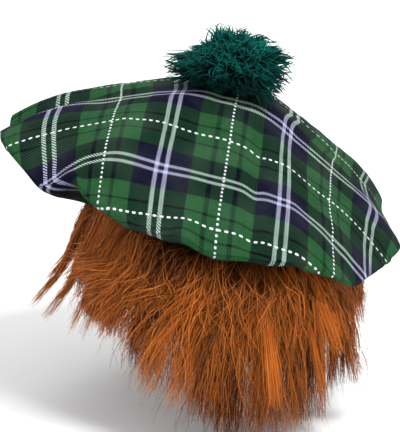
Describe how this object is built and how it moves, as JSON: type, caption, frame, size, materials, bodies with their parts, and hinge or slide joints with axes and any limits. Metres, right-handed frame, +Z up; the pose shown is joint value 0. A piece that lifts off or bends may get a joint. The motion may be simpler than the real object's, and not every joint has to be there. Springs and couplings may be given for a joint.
{
  "type": "tartan beret with hair fringe",
  "caption": "Soft round tartan beret with a yarn pompom and a fringe of long ginger hair hanging below its headband, kept in its worn form.",
  "frame": {"origin": "middle of the head opening at the headband's lower edge, where the hat sits on the head", "axes": "+Z up through the crown; -Y is the side the picture shows; +X is the picture's right"},
  "size_m": [0.2543, 0.2586, 0.2231],
  "materials": {
    "tartan_cloth": "matte twill",
    "band_cloth": "matte",
    "ginger_hair": "long satin fibre",
    "pompom_yarn": "matte cut yarn"
  },
  "bodies": {
    "root": {"crown": "tartan_cloth", "headband": "band_cloth", "hair_fringe": "ginger_hair", "pompom": "pompom_yarn"}
  },
  "joints": []
}
